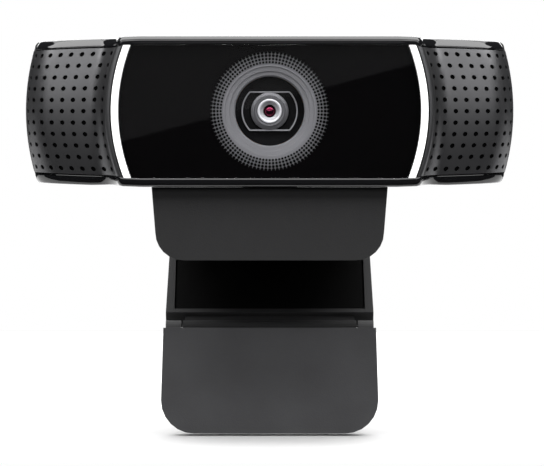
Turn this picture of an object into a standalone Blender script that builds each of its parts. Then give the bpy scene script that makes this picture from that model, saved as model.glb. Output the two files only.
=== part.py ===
"""Webcam head on a folding monitor clip with a camera-thread socket, in metres.

Frame: +Z up, the lens looks along -Y, and +X is to the right for someone facing the lens.
The origin is the middle of the rubber pad's underside, where the clip rests on a screen's top edge.
Working sizes below are millimetres: `depth` runs back from the window's face, `height` up from the
lens axis, and `at` turns both into the part's own frame.
"""
from math import asin, atan2, cos, hypot, pi, radians, sin, sqrt

import bmesh
import bpy
from mathutils import Matrix, Vector

MM = 0.001
GAP = 0.3            # clearance between neighbouring pieces

# Placing of the origin against the lens axis and the window's face
LENS_HEIGHT = 20.8   # lens axis above the screen rest
REST_DEPTH = 13.6    # screen rest behind the window's face

# Head
HEAD_TOP = 14.8      # half height at the middle
STEP_DROP = 0.45     # how far the rails step down beside the raised panel
STEP_START = 28.0    # where that step begins and how long it is
STEP_LONG = 4.0
END_DROP = 0.5       # how much lower again they are at the ends
HEAD_END = 46.35     # half length at rail height
END_CORNER = 1.2     # rounding of the head's corners in front view
END_BULGE = 1.95     # how far the ends swell at lens height
RAIL_TOP = 1.75      # thickness of the upper rail
RAIL_BOTTOM = 1.6    # thickness of the lower rail
SPLIT_DEPTH = 14.0   # where the front frame meets the rear cover
HEAD_DEPTH = 24.0
HEAD_WALL = 1.6
BACK_LENGTH = 30.0   # half length and half height of the flat back
BACK_HEIGHT = 10.2
SCREW_SHANK = 0.8
SCREW_PLACES = [(-27.5, 7.4), (27.5, 7.4), (-27.5, -7.4), (27.5, -7.4)]
POST_X = 31.0        # posts that tie the two rails together
CABLE_X = 12.0       # where the cable leaves the back
CABLE_Z = -4.0
CABLE_BORE = 1.9
GLAND_NECK = 3.0

# Raised middle panel and the two light arcs at its ends
PANEL_HALF = 26.6
ARC_WIDTH = 1.4
ARC_BULGE = 2.6
PANEL_HEIGHT = 12.75
WINDOW_THICK = 1.1
MASK_THICK = 0.4
MASK_DEPTH = WINDOW_THICK + GAP + MASK_THICK / 2
ARC_THICK = 2.2

# Wings, as seen from above: a round shoulder by the arc, a hollow curve down from it, a nearly flat
# brow, then a round end whose radius is what is left
WING_SHOULDER = 1.25
WING_TURN = radians(78)
WING_FILLET = 3.7
WING_BROW = 28.0
WING_BROW_TURN = radians(15.5)
WING_WALL = 1.2
WING_CROWN = 1.3     # how far the wings' faces fall back 13 mm above and below the lens axis
CROWN_START = 1.7    # the fall begins past the shoulder and grows over the hollow
CROWN_LONG = 5.0

# Lens group
SHROUD_OUTER = 9.3
WELL_RADIUS = 6.8
BARREL_RADIUS = 3.7
OVAL_RADIUS = 5.46   # raised rim round the lens: a circle cut by two level chords
OVAL_FLAT = 3.78
MAGNET_AT = 5.6

# Electronics
BOARD_SCREW_X = 20.5
MIC_X = 37.5

# Clip
PLATE_TOP = -17.2
PLATE_UNDER = -20.0
PAD_UNDER = -LENS_HEIGHT
LIP_FRONT = 3.0
LIP_THICK = 2.6
LIP_TOP = -14.9
LIP_BOTTOM = -29.2
LIP_HALF_TOP = 23.1
LIP_HALF_BOTTOM = 22.4
PLATE_HALF_FRONT = 22.6
PLATE_HALF_REAR = 21.3
LIP_CORNER = 5.5
TILT_DEPTH = 20.0    # head hinge axis
TILT_HEIGHT = -17.0
ARM_DEPTH = 67.5     # rear hinge axis
ARM_HEIGHT = -23.8
FOOT_DEPTH = 38.0    # foot hinge axis in the open pose
FOOT_HEIGHT = -44.7
ARM_LENGTH = hypot(ARM_DEPTH - FOOT_DEPTH, ARM_HEIGHT - FOOT_HEIGHT)
ARM_SLOPE = atan2(ARM_HEIGHT - FOOT_HEIGHT, ARM_DEPTH - FOOT_DEPTH)
ARM_INNER = 2.0      # faces of the arm above and below its hinge line
ARM_OUTER = 3.8
ARM_HALF_REAR = 20.9
ARM_HALF_FRONT = 21.4
RAIL_SIDE = 1.25
FOOT_FACE = 2.7      # faces of the foot in front of and behind its hinge line
FOOT_BACK = 2.0
FOOT_SKIN = 0.8
FOOT_HALF = 21.8
FOOT_HALF_WIDE = 22.3
FOOT_LENGTH = 21.4
FOOT_CORNER = 6.8
PIN_RADIUS = 0.8
TILT_BARREL = 1.8
ARM_BARREL = 3.0
FOOT_BARREL = 1.7
SOCKET_Y = -17.0     # tripod socket along the arm
SOCKET_LONG = 4.1
PAD_THICK = 0.8
INSERT_RADIUS = 4.6
THREAD_RADIUS = 3.175   # 1/4"-20 thread, major radius

COLLECTION = "webcam_on_clip"
COLOURS = {
    "gloss_black": ((0.006, 0.006, 0.007), 0.08, 0.0),
    "clear": ((0.02, 0.02, 0.022), 0.03, 0.0),
    "grey_grille": ((0.09, 0.09, 0.095), 0.45, 0.2),
    "matte_black": ((0.022, 0.022, 0.023), 0.6, 0.0),
    "rubber": ((0.008, 0.008, 0.008), 0.85, 0.0),
    "white_light": ((0.85, 0.85, 0.83), 0.4, 0.0),
    "steel": ((0.55, 0.55, 0.56), 0.3, 1.0),
    "glass": ((0.05, 0.02, 0.04), 0.02, 0.0),
    "board": ((0.01, 0.09, 0.04), 0.5, 0.0),
    "copper": ((0.7, 0.32, 0.14), 0.35, 1.0),
    "brass": ((0.6, 0.42, 0.16), 0.35, 1.0),
    "silicon": ((0.04, 0.05, 0.08), 0.2, 0.3),
}


def at(x, depth, height):
    """A point given across, back from the window's face and up from the lens axis."""
    return Vector((x, depth - REST_DEPTH, height + LENS_HEIGHT)) * MM


def collection(name):
    made = bpy.data.collections.new(name)
    bpy.context.scene.collection.children.link(made)
    return made


def paint(piece, finish):
    colour, roughness, metallic = COLOURS[finish]
    material = bpy.data.materials.new(f"{piece.name}_{finish}")
    material.use_nodes = True
    shader = material.node_tree.nodes["Principled BSDF"]
    shader.inputs["Base Color"].default_value = (*colour, 1)
    shader.inputs["Roughness"].default_value = roughness
    shader.inputs["Metallic"].default_value = metallic
    piece.data.materials.clear()
    piece.data.materials.append(material)


def own(piece, finish):
    """Files a piece in the object's collection, or a cutter (no finish) with the cutters."""
    for holder in list(piece.users_collection):
        holder.objects.unlink(piece)
    if finish is None:
        CUTTERS.objects.link(piece)
        piece.hide_render = True
        piece.display_type = "WIRE"
        return piece
    PARTS.objects.link(piece)
    paint(piece, finish)
    piece.data.shade_smooth()
    piece.data.set_sharp_from_angle(angle=radians(35))
    return piece


def mesh_piece(name, mesh, finish, matrix=None):
    piece = bpy.data.objects.new(name, mesh)
    bpy.context.scene.collection.objects.link(piece)
    piece.matrix_world = matrix or Matrix()
    return own(piece, finish)


def box(name, centre, size, finish, matrix=None):
    """A box by its centre and size in mm; matrix places it when it is not in the head's frame."""
    body = bmesh.new()
    bmesh.ops.create_cube(body, size=1)
    bmesh.ops.scale(body, vec=Vector(size) * MM, verts=body.verts)
    mesh = bpy.data.meshes.new(name)
    body.to_mesh(mesh)
    body.free()
    if matrix is None:
        place = Matrix.Translation(at(*centre))
    else:
        place = matrix @ Matrix.Translation(Vector(centre) * MM)
    return mesh_piece(name, mesh, finish, place)


def placing(centre, axis, matrix=None):
    """Where a round piece stands: its own Z turned to run backwards (Y) or across (X)."""
    turn = Matrix.Rotation(radians(90), 4, "X") if axis == "Y" else Matrix.Rotation(radians(-90), 4, "Y")
    if matrix is None:
        return Matrix.Translation(at(*centre)) @ turn
    return matrix @ Matrix.Translation(Vector(centre) * MM) @ turn


def turned(name, centre, profile, finish, sides=40, axis="Y", matrix=None):
    """A solid of revolution. profile is (radius, along) pairs, closed, given with its outer side
    falling; along runs from the front backwards for axis Y and to +X for axis X."""
    body = bmesh.new()
    points = [body.verts.new(Vector((r, 0, -along)) * MM) for r, along in profile]
    closed = min(r for r, _ in profile) > 0
    pairs = list(zip(points, points[1:])) + ([(points[-1], points[0])] if closed else [])
    for first, second in pairs:
        body.edges.new((first, second))
    mesh = bpy.data.meshes.new(name)
    body.to_mesh(mesh)
    body.free()
    piece = mesh_piece(name, mesh, finish, placing(centre, axis, matrix))
    screw = piece.modifiers.new("turn", "SCREW")
    screw.steps = sides
    screw.render_steps = sides
    screw.use_merge_vertices = True
    screw.merge_threshold = 0.00001
    screw.use_smooth_shade = True
    return piece


def rod(name, centre, radius, length, finish, sides=24, axis="Y", matrix=None, bore=0):
    """A plain round bar or tube, centred on centre."""
    half = length / 2
    if bore:
        profile = [(radius, -half), (radius, half), (bore, half), (bore, -half)]
        return turned(name, centre, profile, finish, sides, axis, matrix)
    body = bmesh.new()
    bmesh.ops.create_cone(body, cap_ends=True, segments=sides, radius1=radius * MM, radius2=radius * MM,
                          depth=length * MM)
    mesh = bpy.data.meshes.new(name)
    body.to_mesh(mesh)
    body.free()
    return mesh_piece(name, mesh, finish, placing(centre, axis, matrix))


def slab(name, loops, thickness, place, finish):
    """A flat outline with optional holes, given a thickness; place maps its own frame."""
    flat = bpy.data.curves.new(name, "CURVE")
    flat.dimensions = "2D"
    flat.fill_mode = "BOTH"
    flat.extrude = thickness * MM / 2
    for loop in loops:
        spline = flat.splines.new("POLY")
        spline.points.add(len(loop) - 1)
        for point, (x, y) in zip(spline.points, loop):
            point.co = (x * MM, y * MM, 0, 1)
        spline.use_cyclic_u = True
    guide = bpy.data.objects.new(name + "_outline", flat)
    bpy.context.scene.collection.objects.link(guide)
    mesh = bpy.data.meshes.new_from_object(guide.evaluated_get(bpy.context.evaluated_depsgraph_get()))
    bpy.data.objects.remove(guide)
    body = bmesh.new()
    body.from_mesh(mesh)
    bmesh.ops.remove_doubles(body, verts=body.verts, dist=0.000005)
    bmesh.ops.dissolve_limit(body, angle_limit=radians(0.5), verts=body.verts, edges=body.edges)
    bmesh.ops.recalc_face_normals(body, faces=body.faces)
    body.to_mesh(mesh)
    body.free()
    mesh.name = name
    return mesh_piece(name, mesh, finish, place)


def facing(depth):
    """Places a slab drawn in front view (across, up from the lens axis) at a depth."""
    return Matrix.Translation(at(0, depth, 0)) @ Matrix.Rotation(radians(90), 4, "X")


def loft(name, rings, finish, capped=True):
    """A skin over rings of (x, depth, height) points, each ring with as many points."""
    body = bmesh.new()
    rows = [[body.verts.new(at(*point)) for point in ring] for ring in rings]
    for low, high in zip(rows, rows[1:]):
        for i in range(len(low)):
            j = (i + 1) % len(low)
            body.faces.new((low[i], low[j], high[j], high[i]))
    body.faces.new(rows[-1])
    if capped:
        body.faces.new(list(reversed(rows[0])))
    bmesh.ops.recalc_face_normals(body, faces=body.faces)
    mesh = bpy.data.meshes.new(name)
    body.to_mesh(mesh)
    body.free()
    return mesh_piece(name, mesh, finish)


def boolean(piece, other, operation):
    tool = piece.modifiers.new(operation.lower(), "BOOLEAN")
    tool.operation = operation
    tool.solver = "EXACT"
    tool.object = other
    return piece


def cut(piece, *cutters):
    for cutter in cutters:
        boolean(piece, cutter, "DIFFERENCE")
    return piece


def join(piece, *others):
    for other in others:
        boolean(piece, other, "UNION")
    return piece


def soften(piece, width, segments=2, angle=40):
    bevel = piece.modifiers.new("edge", "BEVEL")
    bevel.width = width * MM
    bevel.segments = segments
    bevel.limit_method = "ANGLE"
    bevel.angle_limit = radians(angle)
    return piece


def hang(pieces, pivot):
    """Parents pieces to the empty on their joint's axis without moving them."""
    bpy.context.view_layer.update()
    for piece in pieces:
        piece.parent = pivot
        piece.matrix_parent_inverse = pivot.matrix_world.inverted()


def pivot(name, matrix):
    empty = bpy.data.objects.new(name, None)
    empty.empty_display_size = 0.01
    PARTS.objects.link(empty)
    empty.matrix_world = matrix
    return empty


# ---- outlines ---------------------------------------------------------------------------------

def swell(height, bulge, reach=13.3):
    """How far an edge bows outward at a height, for a bow of `bulge` at the lens axis."""
    return bulge * max(0.0, 1 - (height / reach) ** 2)


def crown(along, height):
    """Fall of a wing's face at a length along it and at a height."""
    share = min(1.0, max(0.0, along - CROWN_START) / CROWN_LONG)
    return WING_CROWN * share * share * (3 - 2 * share) * (height / 13.0) ** 2


def wing_profile(height, inset=0.0):
    """(x, depth) points of a wing's face from the panel's edge round its end to the split line."""
    x, depth = PANEL_HALF + GAP + ARC_WIDTH + GAP + swell(height, ARC_BULGE), 0.0
    end = HEAD_END + swell(height, END_BULGE)
    bends = [(WING_SHOULDER, 0.0, WING_TURN, 3), (-WING_FILLET, WING_TURN, 0.0, 5),
             (WING_BROW, 0.0, WING_BROW_TURN, 2), (None, WING_BROW_TURN, pi / 2, 5)]
    points, along = [], 0.0
    for radius, first, last, steps in bends:
        if radius is None:
            radius = (end - x) / (1 - sin(first))
        for i in range(steps):
            angle = first + (last - first) * i / steps
            back = inset + crown(along + abs(radius * (angle - first)), height)
            points.append((x + radius * (sin(angle) - sin(first)) - inset * sin(angle),
                           depth + radius * (cos(first) - cos(angle)) + back * cos(angle)))
        along += abs(radius * (last - first))
        x += radius * (sin(last) - sin(first))
        depth += radius * (cos(first) - cos(last))
    return points + [(end - inset, depth), (end - inset, SPLIT_DEPTH)]


def head_outline(half_length, half_height, side_steps=5, top_steps=4):
    """Front view of the head, scaled to a half length at lens height and a half height."""
    across = half_length / (HEAD_END + END_BULGE)
    up = half_height / HEAD_TOP
    end_top = rail_height(HEAD_END)
    quarter = []
    for i in range(side_steps):
        height = (end_top - END_CORNER) * i / (side_steps - 1)
        quarter.append((HEAD_END + swell(height, END_BULGE), height))
    for i in range(1, 4):
        angle = radians(30) * i
        quarter.append((quarter[side_steps - 1][0] - END_CORNER * (1 - cos(angle)),
                        end_top - END_CORNER * (1 - sin(angle))))
    reach = quarter[-1][0]
    for i in range(1, top_steps + 1):
        x = reach * (1 - i / top_steps)
        quarter.append((x, rail_height(x)))
    quarter = [(x * across, z * up) for x, z in quarter]
    upper = quarter + [(-x, z) for x, z in reversed(quarter[:-1])]
    lower = [(x, -z) for x, z in reversed(upper[1:-1])]
    return upper + lower


def rail_height(x):
    """Top of the head at a distance from the middle: level over the panel, lower to the ends."""
    step = min(1.0, max(0.0, abs(x) - STEP_START) / STEP_LONG)
    past = max(0.0, abs(x) - STEP_START - STEP_LONG) / (HEAD_END - STEP_START - STEP_LONG)
    return HEAD_TOP - STEP_DROP * step * (2 - step) - END_DROP * past ** 1.3


def panel_outline(inner, outer=None, steps=10):
    """The bowed-end panel when outer is None, otherwise the band between two bowed edges."""
    def edge(half, rising):
        heights = [PANEL_HEIGHT * (2 * i / steps - 1) for i in range(steps + 1)]
        if not rising:
            heights.reverse()
        return [(half + swell(z, ARC_BULGE), z) for z in heights]
    if outer is None:
        right = edge(inner, True)
        return right + [(-x, z) for x, z in edge(inner, False)]
    return edge(outer, True) + edge(inner, False)


def circle(radius, steps=32, middle=(0, 0)):
    return [(middle[0] + radius * cos(2 * pi * i / steps), middle[1] + radius * sin(2 * pi * i / steps))
            for i in range(steps)]


def rounded_tongue(half_top, half_bottom, top, bottom, corner, steps=6):
    """A plate's outline: square at the top, rounded at the two bottom corners."""
    points = [(half_top, top), (-half_top, top)]
    for side, begin in ((-1, pi), (1, 3 * pi / 2)):
        for i in range(steps + 1):
            angle = begin + pi / 2 * i / steps
            points.append((side * (half_bottom - corner) + corner * cos(angle),
                           bottom + corner + corner * sin(angle)))
    return points


def flattened_circle(radius, flat, steps=8):
    """A circle cut by two level chords."""
    reach = asin(flat / radius)
    right = [(radius * cos(a), radius * sin(a))
             for a in (reach * (2 * i / steps - 1) for i in range(steps + 1))]
    return right + [(-x, -z) for x, z in right]


# ---- head: outer pieces -------------------------------------------------------------------------

def rail(name, upper, finish):
    """One glossy rail: the head's roof or floor back to the split line."""
    right = wing_profile(HEAD_TOP)[:-1]
    stations = [(-x, depth) for x, depth in reversed(right)] + right
    rings = []
    for x, depth in stations:
        outer = rail_height(x) * (1 if upper else -1)
        inner = outer - RAIL_TOP if upper else outer + RAIL_BOTTOM
        rings.append([(x, depth, inner), (x, depth, outer), (x, SPLIT_DEPTH, outer), (x, SPLIT_DEPTH, inner)])
    return loft(name, rings, finish)


def front_frame():
    frame = soften(rail("front_frame", True, "gloss_black"), 0.35, 1, 60)
    lower = soften(rail("lower_rail", False, None), 0.35, 1, 60)
    tall = 2 * (HEAD_TOP - RAIL_BOTTOM) + 1.0
    posts = [box(f"post_{side}", (side * POST_X, 10.0, 0), (2.2, 7.6, tall), None) for side in (-1, 1)]
    join(frame, lower, *posts)
    for x, z in SCREW_PLACES:
        side = 1 if z > 0 else -1
        boss = box(f"boss_{x:.0f}_{z:.0f}", (x, 11.8, side * 9.4), (4.8, 4.2, 8.2), None)
        join(frame, boss)
        cut(frame, rod(f"pilot_{x:.0f}_{z:.0f}", (x, 12.4, z), SCREW_SHANK + GAP, 4.0, None, 16))
    return frame


def grille(name, side):
    """A wing's perforated cover as a plain curved plate, open to the microphones behind it."""
    levels = [i / 4 for i in range(-4, 5)]
    rings = []
    for level in levels:
        guide = level * (HEAD_TOP - RAIL_TOP)
        face = wing_profile(guide)
        back = wing_profile(guide, WING_WALL)
        ring = []
        for x, depth in face + back[::-1]:
            rail_depth = RAIL_TOP if level > 0 else RAIL_BOTTOM
            height = level * (rail_height(x) - rail_depth - GAP)
            ring.append((side * x, depth, height))
        rings.append(ring)
    return loft(name, rings, "grey_grille")


def rear_cover():
    """The back shell: an open skin over shrinking outlines, thickened inwards."""
    start = SPLIT_DEPTH + GAP
    rings = []
    for share in (0, 0.08, 0.4, 0.7, 0.9, 1.0):
        fall = sqrt(1 - share * share)
        outline = head_outline(BACK_LENGTH + (HEAD_END + END_BULGE - BACK_LENGTH) * fall,
                               BACK_HEIGHT + (HEAD_TOP - BACK_HEIGHT) * fall)
        depth = start + share * (HEAD_DEPTH - start)
        rings.append([(x, depth, z) for x, z in outline])
    cover = loft("rear_cover", rings, "matte_black", capped=False)
    wall = cover.modifiers.new("wall", "SOLIDIFY")
    wall.thickness = HEAD_WALL * MM
    wall.offset = -1
    wall.use_even_offset = True
    cut(cover, box("bracket_slot", (0, TILT_DEPTH, -13.4), (12.4, 2.8, 4.4), None))
    cut(cover, rod("cable_hole", (CABLE_X, 23.2, CABLE_Z), GLAND_NECK + GAP, 4, None, 24))
    for x, z in SCREW_PLACES:
        cut(cover, rod(f"cover_hole_{x:.0f}_{z:.0f}", (x, 22.6, z), SCREW_SHANK + GAP, 6, None, 16),
            rod(f"cover_sink_{x:.0f}_{z:.0f}", (x, 24.1, z), 2.0, 2.0, None, 20))
    return cover


def outer_head():
    facing_window = slab("front_window", [panel_outline(PANEL_HALF)], WINDOW_THICK,
                         facing(WINDOW_THICK / 2), "clear")
    hole = circle(SHROUD_OUTER + GAP, 40)
    inset = 0.4
    mask = slab("window_mask", [panel_outline(PANEL_HALF - inset), hole], MASK_THICK,
                facing(MASK_DEPTH), "gloss_black")
    pieces = [front_frame(), rear_cover(), facing_window, mask]
    for name, side in (("right", -1), ("left", 1)):
        band = panel_outline(PANEL_HALF + GAP, PANEL_HALF + GAP + ARC_WIDTH)
        band = [(side * x, z) for x, z in band]
        pieces.append(slab(f"{name}_light_arc", [band], ARC_THICK, facing(ARC_THICK / 2), "white_light"))
        pieces.append(grille(f"{name}_grille", side))
        led_x = side * (PANEL_HALF + GAP + ARC_WIDTH / 2 + ARC_BULGE)
        pieces.append(box(f"{name}_status_led", (led_x, ARC_THICK + 0.8, 0), (1.0, 0.8, 2.0), "white_light"))
    return pieces


# ---- head: lens and focus drive -----------------------------------------------------------------

def optics_fixed():
    shroud = turned("lens_shroud", (0, 0, 0), [
        (WELL_RADIUS + 0.9, 1.5), (SHROUD_OUTER, 1.5), (SHROUD_OUTER, 2.3), (WELL_RADIUS + 0.7, 3.2),
        (WELL_RADIUS + 0.7, 5.2), (WELL_RADIUS, 5.2), (WELL_RADIUS, 2.5), (WELL_RADIUS + 0.9, 2.1),
    ], "grey_grille", 36)
    plate = box("focus_cover", (0, 5.9, 0), (14.0, 0.8, 14.0), "matte_black")
    oval = slab("focus_oval", [flattened_circle(OVAL_RADIUS, OVAL_FLAT)], 1.6, facing(5.1), None)
    join(plate, oval)
    cut(plate, rod("focus_bore", (0, 5.4, 0), BARREL_RADIUS + GAP, 4, None, 32))
    yoke = box("focus_yoke", (0, 9.1, 0), (14.0, 4.2, 14.0), "steel")
    cut(yoke, box("yoke_hollow", (0, 9.1, 0), (12.6, 6, 12.6), None))
    base = box("focus_base", (0, 12.8, 0), (14.0, 1.2, 14.0), "matte_black")
    cut(base, box("filter_seat", (0, 12.3, 0), (6.2, 1.0, 6.2), None),
        box("sensor_window", (0, 13, 0), (4.4, 3, 4.4), None))
    pieces = [shroud, plate, yoke, base]
    for i, (x, z) in enumerate(((0, 1), (1, 0), (0, -1), (-1, 0)), 1):
        size = (6.4, 3.4, 0.8) if z else (0.8, 3.4, 6.4)
        pieces.append(box(f"focus_magnet_{i}", (x * MAGNET_AT, 9.1, z * MAGNET_AT), size, "steel"))
    for name, depth in (("front_focus_spring", 6.65), ("rear_focus_spring", 11.7)):
        square = [(6.6, 6.6), (-6.6, 6.6), (-6.6, -6.6), (6.6, -6.6)]
        pieces.append(slab(name, [square, circle(4.6, 24)], 0.1, facing(depth), "copper"))
    pieces += [
        box("infrared_filter", (0, 12.35, 0), (5.6, 0.3, 5.6), "glass"),
        box("image_sensor", (0, 13.95, 0), (5.8, 0.5, 5.0), "silicon"),
        box("sensor_board", (0, 14.9, 0), (16.0, 0.8, 16.0), "board"),
    ]
    return pieces


def lens():
    """Everything that the focus drive moves."""
    barrel = turned("lens_barrel", (0, 0, 0), [
        (2.6, 3.6), (3.3, 3.3), (BARREL_RADIUS, 3.6), (BARREL_RADIUS, 5.9), (2.9, 5.9), (2.9, 11.0),
        (2.3, 11.0), (2.3, 4.6),
    ], "matte_black", 32)
    retainer = turned("lens_retaining_ring", (0, 0, 0), [
        (1.5, 4.0), (2.1, 3.75), (2.25, 4.3), (1.5, 4.3)], "steel", 36)
    front = turned("front_lens_element", (0, 0, 0), [
        (0, 4.65), (1.2, 4.75), (2.0, 5.1), (2.0, 6.2), (0, 6.0)], "glass", 32)
    rear = turned("rear_lens_element", (0, 0, 0), [
        (0, 8.8), (2.0, 8.6), (2.0, 9.6), (1.0, 9.85), (0, 9.95)], "glass", 32)
    carrier = rod("lens_carrier", (0, 9.0, 0), 3.8, 3.8, "matte_black", 24, bore=3.2)
    coil = rod("focus_coil", (0, 9.0, 0), 4.7, 2.8, "copper", 24, bore=4.1)
    return [barrel, retainer, front, rear, carrier, coil]


# ---- head: electronics, bracket and fixings -------------------------------------------------------

def electronics():
    board = box("main_board", (0, 17.6, 0), (46.0, 1.0, 19.6), "board")
    for x in (-BOARD_SCREW_X, BOARD_SCREW_X):
        cut(board, rod(f"board_hole_{x:.0f}", (x, 17.6, 0), SCREW_SHANK + GAP, 3, None, 16))
    shield = box("processor_shield", (-9.0, 19.4, 1.0), (16.0, 1.4, 14.0), "steel")
    soften(shield, 0.3)
    plug = box("cable_header", (CABLE_X, 19.6, 5.0), (9.0, 2.0, 4.0), "matte_black")
    bridge = box("sensor_connector", (0, 16.2, -6.0), (8.0, 0.9, 2.4), "matte_black")
    pieces = [board, shield, plug, bridge]
    for name, side in (("right", -1), ("left", 1)):
        x = side * MIC_X
        pieces += [
            box(f"{name}_microphone_board", (x, 9.3, 0), (8.0, 0.8, 8.0), "board"),
            box(f"{name}_microphone", (x, 8.05, 0), (3.8, 1.1, 3.0), "steel"),
            rod(f"{name}_microphone_boot", (x, 6.55, 0), 2.6, 1.7, "rubber", 20, bore=1.2),
        ]
    return pieces


def screw(name, x, depth, z, length, head_radius=1.7):
    """A self-tapping screw with its head to the back and a crossed recess."""
    body = turned(name, (x, depth, z), [
        (0, -length), (SCREW_SHANK, -length), (SCREW_SHANK, 0), (head_radius, 0), (head_radius, 0.3),
        (head_radius - 0.4, 0.75), (0, 0.75)], "steel", 20)
    for size in ((1.7, 0.9, 0.4), (0.4, 0.9, 1.7)):
        cut(body, box(f"{name}_slot_{size[0]:.0f}", (x, depth + 0.75, z), size, None))
    return body


def fixings():
    bracket = rod("hinge_bracket", (0, TILT_DEPTH, TILT_HEIGHT), TILT_BARREL, 17.2, "matte_black", 24, "X")
    join(bracket, box("bracket_web", (0, TILT_DEPTH, -13.7), (11.0, 1.8, 5.8), None),
         box("bracket_flange", (0, TILT_DEPTH - 1.2, -10.6), (15.0, 4.2, 0.8), None))
    cut(bracket, rod("bracket_bore", (0, TILT_DEPTH, TILT_HEIGHT), PIN_RADIUS + GAP, 24, None, 20, "X"))
    gland = turned("cable_gland", (CABLE_X, 0, CABLE_Z), [
        (CABLE_BORE, 21.9), (GLAND_NECK + 0.9, 21.9), (GLAND_NECK + 0.9, 22.0), (GLAND_NECK, 22.05),
        (GLAND_NECK, 24.3), (GLAND_NECK + 0.9, 24.35), (GLAND_NECK + 0.8, 25.0), (CABLE_BORE + 0.6, 27.5),
        (CABLE_BORE, 27.5)], "rubber", 28)
    pieces = [bracket, gland]
    for i, (x, z) in enumerate(SCREW_PLACES, 1):
        pieces.append(screw(f"cover_screw_{i}", x, HEAD_DEPTH - 0.85, z, 10.0))
    for i, x in enumerate((-BOARD_SCREW_X, BOARD_SCREW_X), 1):
        pieces.append(screw(f"board_screw_{i}", x, 18.4, 0, 3.6, 1.6))
    return pieces


# ---- clip, arm and foot ---------------------------------------------------------------------------

def clip():
    end = 71.0
    rear_half = PLATE_HALF_REAR
    corner = 4.0
    outline = [(PLATE_HALF_FRONT, LIP_FRONT + 0.1), (PLATE_HALF_FRONT - 0.2, 24.0)]
    outline += [(rear_half - corner + corner * cos(a), end - corner + corner * sin(a))
                for a in (radians(15) * i for i in range(7))]
    outline += [(-x, depth) for x, depth in reversed(outline)]
    local = [(x, depth - REST_DEPTH) for x, depth in outline]
    middle = (PLATE_TOP + PLATE_UNDER) / 2
    base = slab("clip_base", [local], PLATE_TOP - PLATE_UNDER,
                Matrix.Translation((0, 0, (middle + LENS_HEIGHT) * MM)), "matte_black")
    lip = slab("lip", [rounded_tongue(LIP_HALF_TOP, LIP_HALF_BOTTOM, LIP_TOP, LIP_BOTTOM, LIP_CORNER)],
               LIP_THICK, facing(LIP_FRONT + LIP_THICK / 2 - 0.02), None)
    cut(base, box("tilt_pocket", (0, TILT_DEPTH, -17.2), (26.0, 6.4, 4.0), None))
    join(base, lip)
    for side in (-1, 1):
        join(base, box(f"tilt_ear_{side}", (side * 11.0, TILT_DEPTH, -18.3), (2.8, 3.4, 2.6), None),
             rod(f"tilt_round_{side}", (side * 11.0, TILT_DEPTH, TILT_HEIGHT), TILT_BARREL, 2.81,
                 None, 24, "X"))
    cut(base, rod("tilt_bore", (0, TILT_DEPTH, TILT_HEIGHT), PIN_RADIUS + GAP, 30, None, 20, "X"))
    join(base, box("arm_web", (0, ARM_DEPTH, -21.6), (28.6, 5.4, 4.4), None),
         rod("arm_round", (0, ARM_DEPTH, ARM_HEIGHT), ARM_BARREL, 28.61, None, 28, "X"))
    cut(base, rod("arm_bore", (0, ARM_DEPTH, ARM_HEIGHT), 1.2 + GAP, 60, None, 20, "X"))
    pad = box("screen_rest_pad", (0, REST_DEPTH, (PLATE_UNDER + PAD_UNDER) / 2 - GAP / 2),
              (40.0, 12.6, PLATE_UNDER - PAD_UNDER - GAP), "rubber")
    lip_pad = slab("lip_pad", [rounded_tongue(19.5, 19.5, -22.0, -28.2, 4.0)], 1.0,
                   facing(LIP_FRONT + LIP_THICK + GAP + 0.5), "rubber")
    pieces = [base, pad, lip_pad,
              rod("tilt_pin", (0, TILT_DEPTH, TILT_HEIGHT), PIN_RADIUS, 24.4, "steel", 20, "X"),
              rod("arm_pin", (0, ARM_DEPTH, ARM_HEIGHT), 1.2, 41.0, "steel", 20, "X")]
    for i, side in enumerate((-1, 1), 1):
        pieces.append(rod(f"friction_washer_{i}", (side * 9.1, TILT_DEPTH, TILT_HEIGHT), TILT_BARREL - 0.1,
                          0.4, "steel", 20, "X", bore=PIN_RADIUS + 0.15))
    return pieces


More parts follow.
